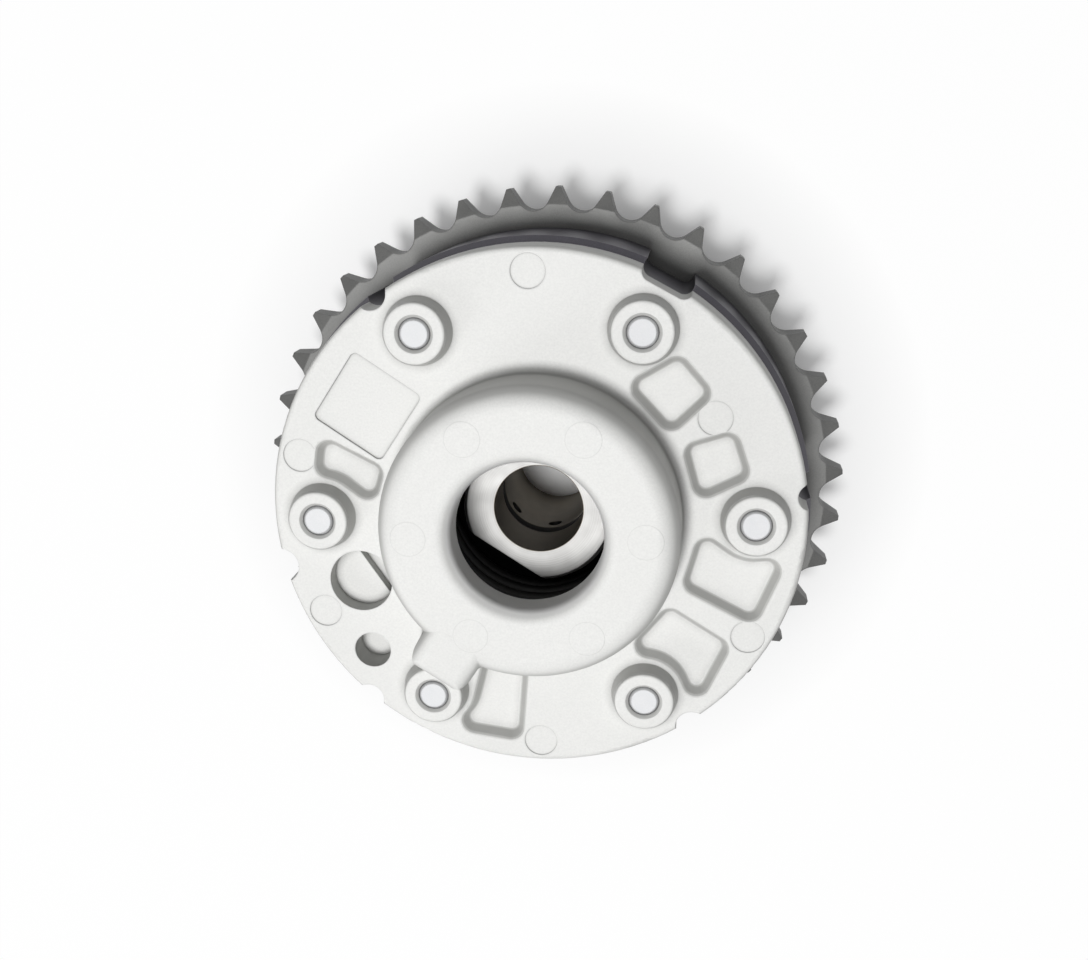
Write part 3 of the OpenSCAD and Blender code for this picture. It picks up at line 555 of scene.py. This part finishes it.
def bendLeg(piece, shape, degrees, z, legR, turn):
    wireEnd = polarPlace(shape["coilR"], degrees, z)
    selectPoints(piece, lambda at: (at - wireEnd).length < shape["wireR"] * shape["endReach"])
    centre = polarPlace(shape["coilR"] + shape["bendR"], degrees, z)
    bpy.ops.mesh.spin(steps=shape["bendSteps"], angle=turn * math.pi / 2, center=centre * mm, axis=(0, 0, 1))
    along = polarPlace(legR - shape["coilR"] - shape["bendR"] - shape["endInset"], degrees)
    bpy.ops.mesh.extrude_region_move(TRANSFORM_OT_translate={"value": along * mm})
    bpy.ops.mesh.edge_face_add()
    bpy.ops.mesh.inset(thickness=shape["endInset"] * mm)
    bpy.ops.transform.translate(value=polarPlace(shape["endInset"], degrees) * mm)
    backToObject()


def makeReturnSpring(shape):
    deselectAll()
    sweep = 360 * shape["turns"] + shape["toDeg"] - shape["fromDeg"]
    bpy.ops.mesh.primitive_circle_add(
        vertices=shape["sides"], radius=shape["wireR"] * mm,
        rotation=(math.pi / 2, 0, math.radians(shape["fromDeg"])),
        location=polarPlace(shape["coilR"], shape["fromDeg"], shape["topZ"]) * mm)
    piece = bpy.context.object
    piece.name = "returnSpring"
    bpy.ops.object.transform_apply(location=True, rotation=True, scale=True)
    coil = piece.modifiers.new("coil", "SCREW")
    coil.axis = "Z"
    coil.angle = math.radians(sweep)
    coil.screw_offset = (shape["lowZ"] - shape["topZ"]) * mm
    coil.steps = coil.render_steps = round(shape["stepsPerTurn"] * sweep / 360)
    coil.use_smooth_shade = True
    bpy.ops.object.modifier_apply(modifier=coil.name)
    bendLeg(piece, shape, shape["fromDeg"], shape["topZ"], shape["topLegR"], -1)
    bendLeg(piece, shape, shape["toDeg"], shape["lowZ"], shape["lowLegR"], 1)
    wholeMesh(piece)
    bpy.ops.mesh.normals_make_consistent(inside=False)
    backToObject()
    bpy.ops.object.shade_smooth_by_angle(angle=math.radians(shape["smoothDeg"]))
    return piece


springPiece = makeReturnSpring(springShape)
setFinish(springPiece, springWire)
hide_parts("return_spring")
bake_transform(springPiece)
print("return spring:", len(springPiece.data.polygons), "faces")

nodeFinishes = {
    "front_cover": castSkin, "chain_sprocket": sprocketSteel, "stator_housing": statorSteel,
    "housing_screws": zincPlate, "locating_dowels": groundSteel, "lock_bush": groundSteel,
    "rotor": rotorSteel, "lock_pin": groundSteel, "lock_pin_spring": springWire, "lock_pin_plug": groundSteel}
vaneCount = 6
for number in range(1, vaneCount + 1):
    nodeFinishes["vane_%d" % number] = vaneSteel
    nodeFinishes["vane_spring_%d" % number] = leafSteel
for nodeName, finish in nodeFinishes.items():
    setFinish(cadNodes[nodeName], finish)
print("node finishes set")


# floor, backdrop and light
stageLook = {
    "floorSize": 6.0, "floorDrop": 0.0001, "floorTone": (0.92, 0.92, 0.92),
    "floorRough": 0.9, "floorShine": 0.1, "glow": 0.95, "shadeEdge": (0.040, 0.068),
    "worldTone": (0.98, 0.99, 1.0), "worldLight": 0.14, "white": 1.0}


# what the camera sees, straight on, in a mirror or through glass
def seenRays(tree, x, y):
    rays = addNode(tree, "ShaderNodeLightPath", x, y)
    direct = rays.outputs["Is Camera Ray"]
    mirrored = mathNode(tree, "MAXIMUM", x + 200, y, direct, rays.outputs["Is Glossy Ray"])
    return mathNode(tree, "MAXIMUM", x + 400, y, mirrored, rays.outputs["Is Transmission Ray"])


def mixShaders(tree, x, y, share, first, second):
    made = addNode(tree, "ShaderNodeMixShader", x, y)
    for socket, source in zip(made.inputs, (share, first, second)):
        wire(tree, source, socket)
    return made.outputs[0]


def makeFloor(look):
    deselectAll()
    bpy.ops.mesh.primitive_plane_add(size=look["floorSize"], location=(0, 0, -look["floorDrop"]))
    floor = bpy.context.object
    floor.name = "studioFloor"
    paper, tree, shader, place = newFinish("studioPaper", Roughness=look["floorRough"])
    shader.inputs["Base Color"].default_value = (*look["floorTone"], 1.0)
    shader.inputs["Specular IOR Level"].default_value = look["floorShine"]
    glow = addNode(tree, "ShaderNodeEmission", -300, -300)
    glow.inputs["Strength"].default_value = look["white"]
    fromAxis = addNode(tree, "ShaderNodeVectorMath", -900, 600, operation="LENGTH")
    wire(tree, place, fromAxis.inputs[0])
    # under the part itself the paper stays in its shade
    outside = rangeNode(tree, -700, 600, fromAxis.outputs["Value"], look["shadeEdge"], (0.0, look["glow"]))
    share = mathNode(tree, "MULTIPLY", -300, 300, seenRays(tree, -900, 300), outside)
    both = mixShaders(tree, 200, 100, share, shader.outputs[0], glow.outputs[0])
    wire(tree, both, tree.nodes["Material Output"].inputs["Surface"])
    floor.data.materials.append(paper)


def makeWorld(look):
    world = bpy.data.worlds.new("studioWorld")
    bpy.context.scene.world = world
    world.use_nodes = True
    tree = world.node_tree
    soft = tree.nodes["Background"]
    soft.inputs["Color"].default_value = (*look["worldTone"], 1.0)
    soft.inputs["Strength"].default_value = look["worldLight"]
    white = addNode(tree, "ShaderNodeBackground", -200, -200)
    white.inputs["Color"].default_value = (1, 1, 1, 1)
    white.inputs["Strength"].default_value = look["white"]
    both = mixShaders(tree, 100, 100, seenRays(tree, -800, 300), soft.outputs[0], white.outputs[0])
    wire(tree, both, tree.nodes["World Output"].inputs["Surface"])


lampTarget = Vector((0, 0, 0.03))
lampLook = {
    "keyLamp": {"from": (-0.09, -0.11, 1.0), "distance": 0.90, "size": 0.24, "power": 6.3},
    "sideLamp": {"from": (-0.75, -0.60, 0.50), "distance": 0.80, "size": 0.35, "power": 1.1}}


def makeLamps(lamps):
    for name, lamp in lamps.items():
        direction = Vector(lamp["from"]).normalized()
        bpy.ops.object.light_add(type="AREA", location=lampTarget + direction * lamp["distance"])
        made = bpy.context.object
        made.name = name
        made.data.shape = "DISK"
        made.data.size = lamp["size"]
        made.data.energy = lamp["power"]
        made.rotation_euler = (-direction).to_track_quat("-Z", "Y").to_euler()


makeFloor(stageLook)
makeWorld(stageLook)
makeLamps(lampLook)
print("stage ready")

# the camera fitted to the photograph
cameraLook = {
    "place": (0.0254134, 0.0601695, 0.2245258), "target": (0.0016586, 0.0063627, 0.037), "roll": -156.673,
    "lens": 41.033, "sensor": 36.0, "clip": (0.01, 20.0)}


def makeCamera(look):
    bpy.ops.object.camera_add(location=look["place"])
    camera = bpy.context.object
    camera.name = "photoCamera"
    aim = (Vector(look["target"]) - Vector(look["place"])).to_track_quat("-Z", "Y")
    camera.rotation_mode = "QUATERNION"
    camera.rotation_quaternion = aim @ Quaternion((0, 0, 1), math.radians(look["roll"]))
    camera.data.sensor_fit = "HORIZONTAL"
    camera.data.sensor_width = look["sensor"]
    camera.data.lens = look["lens"]
    camera.data.clip_start, camera.data.clip_end = look["clip"]
    bpy.context.scene.camera = camera


makeCamera(cameraLook)
bpy.context.scene.view_settings.view_transform = "Standard"
print("camera ready")
